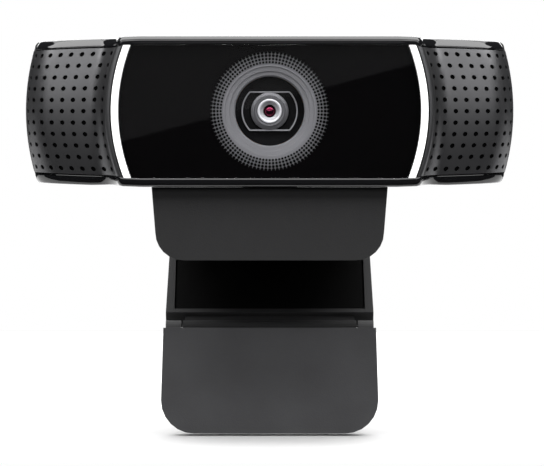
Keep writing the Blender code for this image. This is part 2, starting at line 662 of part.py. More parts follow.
def arm(place):
    """The arm, drawn in its own frame: hinge at the origin, lying forward along -Y when folded."""
    tray_rear, tray_front = -3.9, -(ARM_LENGTH - 2.9)
    outline = [(ARM_HALF_REAR, tray_rear), (-ARM_HALF_REAR, tray_rear), (-ARM_HALF_FRONT, tray_front),
               (ARM_HALF_FRONT, tray_front)]
    middle = (ARM_INNER - ARM_OUTER) / 2
    lift = Matrix.Translation((0, 0, middle * MM))
    frame = slab("arm_frame", [outline], ARM_INNER + ARM_OUTER, place @ lift, "matte_black")
    long = tray_rear - tray_front
    centre_y = (tray_rear + tray_front) / 2
    inner_half = ARM_HALF_REAR - RAIL_SIDE
    hollow = PAD_THICK + GAP + 0.3
    cut(frame, box("arm_hollow", (0, centre_y, ARM_INNER), (2 * inner_half, long - 2.4, 2 * hollow),
                   None, place))
    for side in (-1, 1):
        join(frame, rod(f"arm_ear_{side}", (side * 17.75, 0, 0), ARM_BARREL, 6.2, None, 28, "X", place),
             box(f"arm_ear_web_{side}", (side * 17.75, -2.4, -0.9), (6.1, 4.8, 5.7), None, place))
    cut(frame, rod("arm_ear_bore", (0, 0, 0), 1.2 + GAP, 60, None, 20, "X", place))
    socket = (0, SOCKET_Y, -ARM_OUTER + SOCKET_LONG / 2)
    upright = place @ Matrix.Translation(Vector(socket) * MM) @ Matrix.Rotation(radians(90), 4, "X")
    cut(frame, rod("socket_seat", (0, 0, 0), INSERT_RADIUS + GAP, 9, None, 32, matrix=upright))
    join(frame, rod("foot_round", (0, -ARM_LENGTH, 0), FOOT_BARREL, 35.6, None, 20, "X", place),
         box("foot_web", (0, -ARM_LENGTH + 1.7, 0), (35.0, 3.4, 2.0), None, place))
    cut(frame, rod("foot_bore", (0, -ARM_LENGTH, 0), PIN_RADIUS + GAP, 60, None, 20, "X", place))
    insert = rod("tripod_insert", (0, 0, 0), INSERT_RADIUS, SOCKET_LONG - 0.1, "brass", 32,
                 matrix=upright, bore=THREAD_RADIUS)
    half = inner_half - GAP
    rear, front = tray_rear - 1.6, tray_front + 1.6
    sheet = [(half, rear), (-half, rear), (-half, front), (half, front)]
    pad_middle = ARM_INNER - hollow + GAP + PAD_THICK / 2
    pad = slab("arm_pad", [sheet], PAD_THICK, place @ Matrix.Translation((0, 0, pad_middle * MM)),
               "rubber")
    pin = rod("foot_pin", (0, -ARM_LENGTH, 0), PIN_RADIUS, 42.0, "steel", 20, "X", place)
    return [frame, insert, pad, pin]


def foot(place):
    """The foot, in its own frame: hinge at the origin, lying along -Y when in line with the arm."""
    shell_top = 1.6
    shell = slab("foot_shell", [rounded_tongue(FOOT_HALF, FOOT_HALF_WIDE, -2.1, -FOOT_LENGTH, FOOT_CORNER)],
                 shell_top + FOOT_BACK, place @ Matrix.Translation((0, 0, (shell_top - FOOT_BACK) / 2 * MM)),
                 "matte_black")
    for side in (-1, 1):
        join(shell, rod(f"foot_ear_{side}", (side * 19.75, 0, 0), FOOT_BARREL, 3.2, None, 20, "X", place),
             box(f"foot_ear_web_{side}", (side * 19.75, -1.4, 0), (3.2, 2.8, 3.0), None, place))
    cut(shell, rod("foot_ear_bore", (0, 0, 0), PIN_RADIUS + GAP, 60, None, 20, "X", place))
    outline = rounded_tongue(FOOT_HALF, FOOT_HALF_WIDE, 0.3, -FOOT_LENGTH, FOOT_CORNER)
    skin = slab("foot_pad", [outline], FOOT_SKIN,
                place @ Matrix.Translation((0, 0, (FOOT_FACE - FOOT_SKIN / 2) * MM)), "rubber")
    return [shell, skin]


# ---- assembly -------------------------------------------------------------------------------------

for old in list(bpy.data.objects):
    bpy.data.objects.remove(old)
PARTS = collection(COLLECTION)
CUTTERS = collection("cutters")

HEAD_PIVOT = pivot("head_tilt_axis", Matrix.Translation(at(0, TILT_DEPTH, TILT_HEIGHT)))
LENS_PIVOT = pivot("lens_focus_axis", Matrix.Translation(at(0, 5.0, 0)))
ARM_PIVOT = pivot("arm_fold_axis", Matrix.Translation(at(0, ARM_DEPTH, ARM_HEIGHT))
                  @ Matrix.Rotation(ARM_SLOPE, 4, "X"))
bpy.context.view_layer.update()
ARM_PLACE = ARM_PIVOT.matrix_world.copy()
FOOT_TURN = pi / 2 - ARM_SLOPE
FOOT_PIVOT = pivot("foot_fold_axis", ARM_PLACE @ Matrix.Translation((0, -ARM_LENGTH * MM, 0))
                   @ Matrix.Rotation(FOOT_TURN, 4, "X"))
bpy.context.view_layer.update()
FOOT_PLACE = FOOT_PIVOT.matrix_world.copy()

hang(outer_head() + optics_fixed() + electronics() + fixings() + [LENS_PIVOT], HEAD_PIVOT)
hang(lens(), LENS_PIVOT)
clip()
hang(arm(ARM_PLACE) + [FOOT_PIVOT], ARM_PIVOT)
hang(foot(FOOT_PLACE), FOOT_PIVOT)
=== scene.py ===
"""Looks of the clip-on webcam: fine shells, perforated grilles, lens and light arcs, and all materials."""
from math import asin, atan2, cos, degrees, pi, radians, sin, sqrt

import bmesh
import bpy
from mathutils import Matrix, Vector


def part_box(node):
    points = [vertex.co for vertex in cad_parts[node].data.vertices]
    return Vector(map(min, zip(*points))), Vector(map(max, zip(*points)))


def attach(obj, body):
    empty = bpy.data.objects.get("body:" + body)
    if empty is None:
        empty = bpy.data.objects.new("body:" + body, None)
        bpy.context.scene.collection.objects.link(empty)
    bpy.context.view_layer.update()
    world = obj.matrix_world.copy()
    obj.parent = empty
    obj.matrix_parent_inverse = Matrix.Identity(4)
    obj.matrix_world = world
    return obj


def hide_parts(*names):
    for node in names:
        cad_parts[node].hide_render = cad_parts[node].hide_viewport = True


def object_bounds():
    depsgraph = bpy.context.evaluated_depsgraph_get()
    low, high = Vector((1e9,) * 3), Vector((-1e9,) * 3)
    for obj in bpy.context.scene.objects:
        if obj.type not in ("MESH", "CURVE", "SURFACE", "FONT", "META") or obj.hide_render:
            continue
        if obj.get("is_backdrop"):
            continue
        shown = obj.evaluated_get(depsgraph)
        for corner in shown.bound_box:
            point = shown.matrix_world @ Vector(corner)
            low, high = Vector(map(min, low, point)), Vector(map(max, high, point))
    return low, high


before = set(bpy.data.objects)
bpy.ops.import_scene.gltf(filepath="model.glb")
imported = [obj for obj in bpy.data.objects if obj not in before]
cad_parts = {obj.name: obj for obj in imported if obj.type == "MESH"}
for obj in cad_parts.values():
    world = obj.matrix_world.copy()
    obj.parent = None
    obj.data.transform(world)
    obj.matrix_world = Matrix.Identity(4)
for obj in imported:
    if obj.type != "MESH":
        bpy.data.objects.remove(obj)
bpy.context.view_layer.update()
MM = 0.001

# ---- sizes, in millimetres, read from the frame where it holds them -----------------------------
WINDOW_LOW, WINDOW_HIGH = (Vector(c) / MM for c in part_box("front_window"))
FACE_Y = WINDOW_LOW.y                                   # the window's face
LENS_Z = (WINDOW_LOW.z + WINDOW_HIGH.z) / 2             # the lens axis
FRAME_LOW, FRAME_HIGH = (Vector(c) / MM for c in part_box("front_frame"))
HEAD_TOP = (FRAME_HIGH.z - FRAME_LOW.z) / 2
SPLIT_DEPTH = FRAME_HIGH.y - FACE_Y
HEAD_END = FRAME_HIGH.x
COVER_HIGH = Vector(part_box("rear_cover")[1]) / MM
END_BULGE = COVER_HIGH.x - HEAD_END
HEAD_DEPTH = COVER_HIGH.y - FACE_Y
STEP_DROP = 0.45
STEP_START = 28.0
STEP_LONG = 4.0
END_DROP = 0.5
END_CORNER = 1.2
RAIL_TOP = 1.75
RAIL_BOTTOM = 1.6
LOW_DROP = 0.11                                         # extra depth of the lower rail's edge
LOW_WING_DROP = 0.26                                    # and still more of it under the wings
PANEL_HALF = 26.6
BACK_LENGTH = 30.0
BACK_HEIGHT = 10.2
PANEL_TOP = 13.0
PANEL_LOW = 13.12
ARC_PIPE = 1.4
ARC_CLEAR = 0.05
ARC_WIDTH = 1.4
ARC_BULGE = 2.6
GAP = 0.3
SEAM = 0.12                                             # visible gap between fitted shells
SWELL_REACH = 13.3                                      # height where a swelling end is straight again
WING_SHOULDER = 1.25
WING_TURN = radians(78)
WING_FILLET = 3.7
WING_BROW = 28.0
WING_BROW_TURN = radians(15.5)
GRILLE_INSET = 0.1
CROWN = 1.3                                             # fall of the wing's face at CROWN_HEIGHT
CROWN_HEIGHT = 13.0
CROWN_START = 1.7                                       # the fall begins past the shoulder
CROWN_LONG = 5.0                                        # and grows over this length
COVER_WALL = 1.5
WELL_RADIUS = 6.8
BARREL_RADIUS = 3.7

# Perforations
HOLE_ROWS = 11
HOLE_COLUMNS = 10
HOLE_RADIUS = 0.46
HOLE_MARGIN = 0.3                                       # smooth ring of skin round each hole
HOLE_DEPTH = 0.24
HOLE_SIDES = 16
ROW_PITCH = 2.265
COLUMN_PITCH = 2.14
FIRST_COLUMN = 2.9
FULL_GRILLE = 12.32                                     # half height that the rows need unsqueezed
LAST_LINE = FIRST_COLUMN + COLUMN_PITCH * (HOLE_COLUMNS - 0.5)


def at(x, depth, height):
    """Across, back from the window's face and up from the lens axis, to the frame's metres."""
    return Vector((x, depth + FACE_Y, height + LENS_Z)) * MM


# ---- mesh helpers -------------------------------------------------------------------------------

def new_piece(name, body, smooth=35):
    """An object from a bmesh, shaded smooth with sharp edges above an angle."""
    bmesh.ops.remove_doubles(body, verts=body.verts, dist=0.000002)
    bmesh.ops.dissolve_degenerate(body, edges=body.edges, dist=0.000001)
    bmesh.ops.recalc_face_normals(body, faces=body.faces)
    mesh = bpy.data.meshes.new(name)
    body.to_mesh(mesh)
    body.free()
    piece = bpy.data.objects.new(name, mesh)
    bpy.context.scene.collection.objects.link(piece)
    mesh.shade_smooth()
    mesh.set_sharp_from_angle(angle=radians(smooth))
    for face in mesh.polygons:                # a flat end keeps its own normal, so it mirrors cleanly
        face.use_smooth = face.loop_total <= 8
    return piece


def add_band(body, low, high):
    """Faces between two closed rows of as many vertices."""
    for i in range(len(low)):
        j = (i + 1) % len(low)
        body.faces.new((low[i], low[j], high[j], high[i]))


def loft(name, rings, smooth=35, open_front=False):
    """A skin over closed rings of frame points, with its ends filled."""
    body = bmesh.new()
    rows = [[body.verts.new(point) for point in ring] for ring in rings]
    for low, high in zip(rows, rows[1:]):
        add_band(body, low, high)
    body.faces.new(rows[-1])
    if not open_front:
        body.faces.new(list(reversed(rows[0])))
    return new_piece(name, body, smooth)


def turned(name, profile, sides=96, smooth=35, closed=True):
    """A lens-axis solid of revolution from (radius, depth) points."""
    rings = []
    for i in range(sides):
        angle = 2 * pi * i / sides
        rings.append([at(r * cos(angle), depth, r * sin(angle)) for r, depth in profile])
    body = bmesh.new()
    rows = [[body.verts.new(point) for point in ring] for ring in rings]
    spans = len(profile) if closed else len(profile) - 1
    for k in range(sides):
        low, high = rows[k], rows[(k + 1) % sides]
        for i in range(spans):
            j = (i + 1) % len(profile)
            if profile[i][0] < 1e-6 and profile[j][0] < 1e-6:
                continue
            if profile[i][0] < 1e-6:
                body.faces.new((low[i], low[j], high[j]))
            elif profile[j][0] < 1e-6:
                body.faces.new((low[i], low[j], high[i]))
            else:
                body.faces.new((low[i], low[j], high[j], high[i]))
    return new_piece(name, body, smooth)


def rounded_slab(name, outline, front, back, radius, steps=3):
    """A front-view outline between two depths, with rounded front and back edges."""
    return loft(name, [[at(x, depth, z) for x, z in inset_outline(outline, inset)]
                       for depth, inset in edge_rounds(front, back, radius, steps)])


def ring_loft(name, rings, smooth=35):
    """Rings joined in order and the last back to the first, for a slab with one hole. The ring
    counts match, so each outline is drawn with as many points."""
    body = bmesh.new()
    rows = [[body.verts.new(point) for point in ring] for ring in rings]
    for low, high in zip(rows, rows[1:] + rows[:1]):
        add_band(body, low, high)
    return new_piece(name, body, smooth)


def edge_rounds(front, back, radius, steps):
    """(depth, inset) pairs that walk a rounded edge from the front face to the back one."""
    pairs = [(front + radius * (1 - cos(a)), radius * (1 - sin(a))) for a in
             (pi / 2 * i / steps for i in range(steps + 1))]
    rear = [(front + back - depth, inset) for depth, inset in reversed(pairs)]
    return pairs + rear


def inset_outline(outline, distance):
    """The outline moved inward by a distance along its own normals; it runs anticlockwise."""
    moved = []
    count = len(outline)
    for i, (x, z) in enumerate(outline):
        before, after = Vector(outline[i - 1]), Vector(outline[(i + 1) % count])
        here = Vector((x, z))
        first, second = (here - before), (after - here)
        first = first.normalized() if first.length > 1e-9 else second.normalized()
        second = second.normalized() if second.length > 1e-9 else first
        normal = Vector((-first.y - second.y, first.x + second.x))
        mitre = max(0.35, (1 + first.dot(second)) / 2) ** 0.5
        normal = normal.normalized() if normal.length > 1e-9 else Vector((0, 0))
        moved.append((x + normal.x * distance / mitre, z + normal.y * distance / mitre))
    return moved


def apply_modifiers(piece):
    """Bakes the modifiers into the mesh and drops them."""
    result = piece.evaluated_get(bpy.context.evaluated_depsgraph_get())
    mesh = bpy.data.meshes.new_from_object(result)
    piece.modifiers.clear()
    piece.data = mesh


def carve(piece, cutters):
    """Cuts the cutters out of the piece for good, and removes them."""
    for cutter in cutters:
        tool = piece.modifiers.new("cut", "BOOLEAN")
        tool.operation = "DIFFERENCE"
        tool.solver = "EXACT"
        tool.object = cutter
    apply_modifiers(piece)
    for cutter in cutters:
        bpy.data.objects.remove(cutter)


def round_cutter(centre, radius, length, sides=48):
    body = bmesh.new()
    bmesh.ops.create_cone(body, cap_ends=True, segments=sides, radius1=radius * MM, radius2=radius * MM,
                          depth=length * MM)
    turn = Matrix.Rotation(radians(90), 4, "X")
    bmesh.ops.transform(body, matrix=Matrix.Translation(at(*centre)) @ turn, verts=body.verts)
    return new_piece("cutter", body)


def box_cutter(centre, size):
    body = bmesh.new()
    bmesh.ops.create_cube(body, size=1)
    bmesh.ops.scale(body, vec=Vector(size) * MM, verts=body.verts)
    bmesh.ops.translate(body, vec=at(*centre), verts=body.verts)
    return new_piece("cutter", body)


# ---- the head's curves ----------------------------------------------------------------------------

def swell(height, bulge):
    """How far an end of the head or the panel bulges at a height."""
    return bulge * max(0.0, 1 - (height / SWELL_REACH) ** 2)


def rail_height(x):
    """Top of the head at a distance from the middle: level over the panel, lower to the ends."""
    step = min(1.0, max(0.0, abs(x) - STEP_START) / STEP_LONG)
    past = max(0.0, abs(x) - STEP_START - STEP_LONG) / (HEAD_END - STEP_START - STEP_LONG)
    return HEAD_TOP - STEP_DROP * step * (2 - step) - END_DROP * past ** 1.3


def wing_bends(height):
    """(signed radius, first angle, last angle) of the wing's four bends seen from above: shoulder,
    hollow, brow and round end. The end's radius is what the length leaves."""
    start = PANEL_HALF + 2 * GAP + ARC_WIDTH + swell(height, ARC_BULGE)
    end = HEAD_END + swell(height, END_BULGE)
    bends = [(WING_SHOULDER, 0.0, WING_TURN), (-WING_FILLET, WING_TURN, 0.0),
             (WING_BROW, 0.0, WING_BROW_TURN)]
    left = end - start - sum(r * (sin(b) - sin(a)) for r, a, b in bends)
    return start, bends + [(left / (1 - sin(WING_BROW_TURN)), WING_BROW_TURN, pi / 2)]


def wing_total(height):
    """Length of the wing's face measured along it, from the panel to the split line."""
    _, bends = wing_bends(height)
    drop = sum(r * (cos(a) - cos(b)) for r, a, b in bends)
    return sum(abs(r) * abs(b - a) for r, a, b in bends) + SPLIT_DEPTH - drop


def crown(along, height):
    """How far the wing's face falls back above and below lens height, growing from the shoulder."""
    share = min(1.0, max(0.0, along - CROWN_START) / CROWN_LONG)
    return CROWN * share * share * (3 - 2 * share) * (height / CROWN_HEIGHT) ** 2


def wing_point(along, height, inset=0.0):
    """(x, depth) of the wing's face at a length along it and at a height."""
    fall = crown(along, height)
    x, bends = wing_bends(height)
    depth = 0.0
    for radius, first, last in bends:
        length = abs(radius) * abs(last - first)
        angle = first + (last - first) * min(1.0, along / length)
        x += radius * (sin(angle) - sin(first))
        depth += radius * (cos(first) - cos(angle))
        along -= length
        if along <= 0:
            break
    depth += max(0.0, along)
    normal = (sin(angle), -cos(angle))
    return x - normal[0] * inset, depth - normal[1] * (inset + fall)


def plan_line():
    """The rail's front edge seen from above, from the left back corner round to the right one."""
    height = HEAD_TOP
    total = wing_total(height)
    right = [wing_point(total * i / 90, height) for i in range(91)]
    middle = [(right[0][0] * i / 8, 0.0) for i in range(1, 8)]
    half = [(0.0, 0.0)] + middle + right
    return [(-x, depth) for x, depth in reversed(half[1:])] + half


def head_outline(half_length, half_height, side_steps=18, top_steps=20):
    """Front view of the head, scaled to a half length at lens height and a half height."""
    across = half_length / (HEAD_END + END_BULGE)
    up = half_height / HEAD_TOP
    end_top = rail_height(HEAD_END)
    quarter = []
    for i in range(side_steps):
        height = (end_top - END_CORNER) * i / (side_steps - 1)
        quarter.append((HEAD_END + swell(height, END_BULGE), height))
    last = quarter[-1][0]
    for i in range(1, 8):
        angle = pi / 2 * i / 7
        quarter.append((last - END_CORNER * (1 - cos(angle)), end_top - END_CORNER * (1 - sin(angle))))
    reach = quarter[-1][0]
    for i in range(1, top_steps + 1):
        x = reach * (1 - i / top_steps)
        quarter.append((x, rail_height(x)))
    quarter = [(x * across, z * up) for x, z in quarter]
    upper = quarter + [(-x, z) for x, z in reversed(quarter[:-1])]
    lower = [(x, -z) for x, z in reversed(upper[1:-1])]
    return upper + lower


def bowed_edge(half, rising, trim=0.0, steps=36):
    """One bowed end of the panel, between the rails."""
    low, high = -PANEL_LOW + trim, PANEL_TOP - trim
    heights = [low + (high - low) * i / steps for i in range(steps + 1)]
    if not rising:
        heights.reverse()
    return [(half + swell(z, ARC_BULGE), z) for z in heights]


def panel_outline(half, trim=0.0):
    return bowed_edge(half, True, trim) + [(-x, z) for x, z in bowed_edge(half, False, trim)]


def arc_outline(side):
    """The narrow bowed band of a light arc beside the panel."""
    inner = PANEL_HALF + GAP + ARC_CLEAR
    band = bowed_edge(inner + ARC_PIPE, True) + bowed_edge(inner, False)
    if side < 0:
        band = [(-x, z) for x, z in reversed(band)]
    return band


def circle(radius, count=96):
    return [(radius * cos(2 * pi * i / count), radius * sin(2 * pi * i / count)) for i in range(count)]


def flattened_circle(radius, flat, steps=24, straight=24):
    """A circle cut by two level chords, anticlockwise."""
    reach = asin(flat / radius)
    right = [(radius * cos(a), radius * sin(a)) for a in
             (reach * (2 * i / steps - 1) for i in range(steps + 1))]
    half = radius * cos(reach)
    top = [(half * (1 - 2 * i / straight), flat) for i in range(1, straight)]
    return right + top + [(-x, -z) for x, z in right] + [(-x, -z) for x, z in top]


# ---- materials ------------------------------------------------------------------------------------

def material(name, colour, roughness, metallic=0.0, grain=0.0, grain_size=0.2, mottle=0.06,
             rough_spread=0.06, specular=0.5, coat=0.0):
    """A Principled material with a fine moulded grain: colour mottling, uneven gloss and a bump,
    all from noise in the object's own space. Sizes are millimetres."""
    made = bpy.data.materials.new(name)
    made.use_nodes = True
    nodes, links = made.node_tree.nodes, made.node_tree.links
    shader = nodes["Principled BSDF"]
    shader.inputs["Metallic"].default_value = metallic
    shader.inputs["Specular IOR Level"].default_value = specular
    shader.inputs["Coat Weight"].default_value = coat
    shader.inputs["Coat Roughness"].default_value = 0.05
    place = nodes.new("ShaderNodeTexCoord")
    broad = nodes.new("ShaderNodeTexNoise")
    broad.inputs["Scale"].default_value = 90.0
    broad.inputs["Detail"].default_value = 4.0
    links.new(place.outputs["Object"], broad.inputs["Vector"])
    tint = nodes.new("ShaderNodeValToRGB")
    tint.color_ramp.elements[0].position = 0.3
    tint.color_ramp.elements[1].position = 0.7
    tint.color_ramp.elements[0].color = (*(c * (1 - mottle) for c in colour), 1)
    tint.color_ramp.elements[1].color = (*(min(1.0, c * (1 + mottle)) for c in colour), 1)
    links.new(broad.outputs["Fac"], tint.inputs["Fac"])
    links.new(tint.outputs["Color"], shader.inputs["Base Color"])
    fine = nodes.new("ShaderNodeTexNoise")
    fine.inputs["Scale"].default_value = 1000.0 / grain_size
    fine.inputs["Detail"].default_value = 2.0
    links.new(place.outputs["Object"], fine.inputs["Vector"])
    gloss = nodes.new("ShaderNodeMapRange")
    gloss.inputs["To Min"].default_value = max(0.0, roughness - rough_spread)
    gloss.inputs["To Max"].default_value = min(1.0, roughness + rough_spread)
    links.new(fine.outputs["Fac"] if grain else broad.outputs["Fac"], gloss.inputs["Value"])
    links.new(gloss.outputs["Result"], shader.inputs["Roughness"])
    if grain:
        bump = nodes.new("ShaderNodeBump")
        bump.inputs["Strength"].default_value = grain
        bump.inputs["Distance"].default_value = grain_size * MM * 0.25
        links.new(fine.outputs["Fac"], bump.inputs["Height"])
        links.new(bump.outputs["Normal"], shader.inputs["Normal"])
    return made


def clear_panel():
    """Clear acrylic as a pane: it lets light straight through and mirrors a little at its face."""
    made = bpy.data.materials.new("window_acrylic")
    made.use_nodes = True
    nodes, links = made.node_tree.nodes, made.node_tree.links
    nodes.remove(nodes["Principled BSDF"])
    through = nodes.new("ShaderNodeBsdfTransparent")
    through.inputs["Color"].default_value = (0.93, 0.93, 0.94, 1)
    mirror = nodes.new("ShaderNodeBsdfGlossy")
    mirror.inputs["Roughness"].default_value = 0.015
    edge = nodes.new("ShaderNodeLayerWeight")        # the same from both sides, unlike a Fresnel node
    edge.inputs["Blend"].default_value = 0.5
    steep = nodes.new("ShaderNodeMath")
    steep.operation = "POWER"
    steep.inputs[1].default_value = 5.0
    share = nodes.new("ShaderNodeMath")
    share.operation = "MULTIPLY_ADD"
    share.inputs[1].default_value, share.inputs[2].default_value = 0.986, 0.014
    links.new(edge.outputs["Facing"], steep.inputs[0])
    links.new(steep.outputs["Value"], share.inputs[0])
    mix = nodes.new("ShaderNodeMixShader")
    links.new(share.outputs["Value"], mix.inputs["Fac"])
    links.new(through.outputs["BSDF"], mix.inputs[1])
    links.new(mirror.outputs["BSDF"], mix.inputs[2])
    links.new(mix.outputs["Shader"], nodes["Material Output"].inputs["Surface"])
    return made


def glowing(name, colour, strength):
    """Milky light pipe: a soft white solid that also gives off a little light."""
    made = material(name, colour, 0.35, mottle=0.01)
    shader = made.node_tree.nodes["Principled BSDF"]
    shader.inputs["Emission Color"].default_value = (1.0, 1.0, 1.0, 1)
    shader.inputs["Emission Strength"].default_value = strength
    return made


def coated_glass(name, tint):
    """Dark coated lens glass with a coloured sheen from its anti-glare layers."""
    made = material(name, (0.004, 0.002, 0.004), 0.06, mottle=0.2, rough_spread=0.01)
    shader = made.node_tree.nodes["Principled BSDF"]
    shader.inputs["IOR"].default_value = 2.3
    shader.inputs["Specular Tint"].default_value = (*tint, 1)
    return made


GLOSS = material("piano_black", (0.0045, 0.0045, 0.005), 0.07, mottle=0.1, rough_spread=0.02, coat=0.3)
PRINT = material("panel_print", (0.0009, 0.0007, 0.0008), 0.6, mottle=0.1, specular=0.02)
DOTS = material("dot_print", (0.0009, 0.0009, 0.0009), 0.6, mottle=0.1, specular=0.02)
GRILLE = material("grille_satin", (0.085, 0.085, 0.088), 0.36, metallic=0.85, grain=0.12, grain_size=0.12)
# near-black: painted shade on the holes' walls and on the sheet behind them
PAINTED_SHADE_BACKING = material("grille_painted_shade_backing", (0.0015, 0.0015, 0.0015), 0.9, specular=0.02, grain=0.3,
                   grain_size=0.3)
SHROUD = material("shroud_satin", (0.20, 0.20, 0.205), 0.5, metallic=0.3, grain=0.08, grain_size=0.1)
WELL = material("well_black", (0.003, 0.003, 0.0033), 0.6, specular=0.12, grain=0.1, grain_size=0.15)
SHELL = material("shell_moulding", (0.020, 0.020, 0.021), 0.5, grain=0.35, grain_size=0.22)
CLIP = material("clip_moulding", (0.011, 0.011, 0.0115), 0.7, specular=0.25, grain=0.3, grain_size=0.25)
FOOT = material("foot_moulding", (0.034, 0.034, 0.035), 0.75, grain=0.45, grain_size=0.25)
RUBBER = material("rubber_soft", (0.040, 0.040, 0.042), 0.8, grain=0.5, grain_size=0.3, mottle=0.12,
                  specular=0.25)
# near-black rubber for the pads, gland and boots; on the arm's pad the near-black is painted shade for the
# arm's shaded channel
PAD_AND_PAINTED_SHADE = material("rubber_black_and_painted_shade", (0.0015, 0.0015, 0.0015), 0.8, specular=0.03, grain=0.5, grain_size=0.3)
LIGHT = glowing("light_pipe", (0.86, 0.86, 0.86), 0.45)
STEEL = material("bright_steel", (0.62, 0.62, 0.63), 0.22, metallic=1.0, grain=0.1, grain_size=0.08)
DARK_STEEL = material("magnet_steel", (0.25, 0.25, 0.26), 0.35, metallic=1.0, grain=0.1, grain_size=0.1)
BRASS = material("insert_brass", (0.62, 0.42, 0.16), 0.3, metallic=1.0, grain=0.1, grain_size=0.1)
COPPER = material("copper", (0.72, 0.33, 0.15), 0.3, metallic=1.0, grain=0.2, grain_size=0.12)
BOARD = material("solder_mask", (0.008, 0.07, 0.032), 0.35, grain=0.2, grain_size=0.4, coat=0.3)
SILICON = material("sensor_package", (0.03, 0.035, 0.06), 0.15, metallic=0.3)
PANE = clear_panel()
RIM = material("oval_rim", (0.34, 0.34, 0.35), 0.4, metallic=0.3, grain=0.05, grain_size=0.1)
BARREL = material("barrel_satin", (0.15, 0.15, 0.155), 0.4, metallic=0.4, grain=0.1, grain_size=0.08)
BRIGHT = material("bright_ring", (0.80, 0.80, 0.81), 0.42, metallic=0.25, grain=0.05, grain_size=0.08)
BAFFLE = material("baffle_grey", (0.42, 0.42, 0.43), 0.45, metallic=0.3, grain=0.1, grain_size=0.08)
GLASS_FRONT = coated_glass("lens_coating", (0.85, 0.10, 0.24))
GLASS_FILTER = coated_glass("filter_coating", (0.9, 0.2, 0.25))


def dress(piece, finish, body):
    """Gives a piece its material and its body."""
    piece.data.materials.clear()
    piece.data.materials.append(finish)
    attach(piece, body)
    return piece


# ---- head: shells ---------------------------------------------------------------------------------

# Section of a rail as (inset, share of its thickness), outer face first: over the panel its edge is
# round, and on the wings most of its face slopes
RAIL_MIDDLE = ((0.80, 1.0), (0.62, 0.985), (0.46, 0.95), (0.31, 0.885), (0.18, 0.79), (0.08, 0.685),
               (0.02, 0.57), (0.0, 0.455), (0.0, 0.2), (0.0, 0.07), (0.04, 0.03), (0.12, 0.0))
RAIL_WING = ((1.20, 1.0), (1.0, 0.983), (0.86, 0.95), (0.75, 0.885), (0.53, 0.70), (0.32, 0.515),
             (0.18, 0.39), (0.07, 0.257), (0.0, 0.115), (0.0, 0.07), (0.04, 0.03), (0.12, 0.0))


def low_swell(x):
    """How much lower the lower rail's edge runs than the upper one's height: most under the wings."""
    return LOW_DROP + LOW_WING_DROP * min(1.0, max(0.0, abs(x) - 29.0) / 6.0)


def fine_rail(name, upper):
    """A glossy rail whose section changes from the panel to the wings."""
    thick = RAIL_TOP if upper else RAIL_BOTTOM
    sign = 1 if upper else -1
    outer = plan_line()
    sections = [[] for _ in outer]
    for (inset, level), (wing_inset, wing_level) in zip(RAIL_MIDDLE, RAIL_WING):
        middle, wing = plan_inset(outer, inset), plan_inset(outer, wing_inset)
        for section, near, far in zip(sections, middle, wing):
            share = min(1.0, max(0.0, (abs(near[0]) - 28.6) / 3.2)) * (1.0 if upper else 0.4)
            x, depth = near[0] + (far[0] - near[0]) * share, near[1] + (far[1] - near[1]) * share
            part = level + (wing_level - level) * share
            height = rail_height(x) - thick * (1 - part) + (0 if upper else low_swell(x)) * part
            section.append(at(x, min(depth, SPLIT_DEPTH), sign * height))
    for section, (x, _) in zip(sections, outer):
        low = sign * (rail_height(x) - thick)
        high = sign * (rail_height(x) + (0 if upper else low_swell(x)))
        section.insert(0, at(x * 0.98, SPLIT_DEPTH, high))
        section.append(at(x * 0.98, SPLIT_DEPTH, low))
    return loft(name, sections, smooth=50)


def plan_inset(line, distance):
    """The plan line moved inward (back and towards the middle) along its normals."""
    moved = []
    for i, (x, depth) in enumerate(line):
        before, after = Vector(line[max(i - 1, 0)]), Vector(line[min(i + 1, len(line) - 1)])
        run = (after - before).normalized()
        moved.append((x - run.y * distance, depth + run.x * distance))
    return moved


def grille_levels():
    """Heights of the perforation rows, lowest first, and of the cell lines between them."""
    rows = [ROW_PITCH * (i - (HOLE_ROWS - 1) / 2) for i in range(HOLE_ROWS)]
    lines = [ROW_PITCH * (i - HOLE_ROWS / 2) for i in range(HOLE_ROWS + 1)]
    return rows, lines


def grille_place(side, along, height, inset):
    """A point of the grille's face. Rows close up a little where the rails leave less room."""
    x, _ = wing_point(along, height)
    top = rail_height(x) - (RAIL_TOP if height > 0 else RAIL_BOTTOM) - SEAM
    squeeze = min(1.0, (top - SEAM) / FULL_GRILLE)
    height = max(-top, min(top, height * squeeze))
    x, depth = wing_point(along, height, inset)
    return at(side * x, depth, height)


def cell_border(left, right, low, high, per_side=4):
    """Points round a cell, anticlockwise from its lower left corner."""
    points = []
    for i in range(per_side):
        points.append((left + (right - left) * i / per_side, low))
    for i in range(per_side):
        points.append((right, low + (high - low) * i / per_side))
    for i in range(per_side):
        points.append((right - (right - left) * i / per_side, high))
    for i in range(per_side):
        points.append((left, high - (high - low) * i / per_side))
    return points


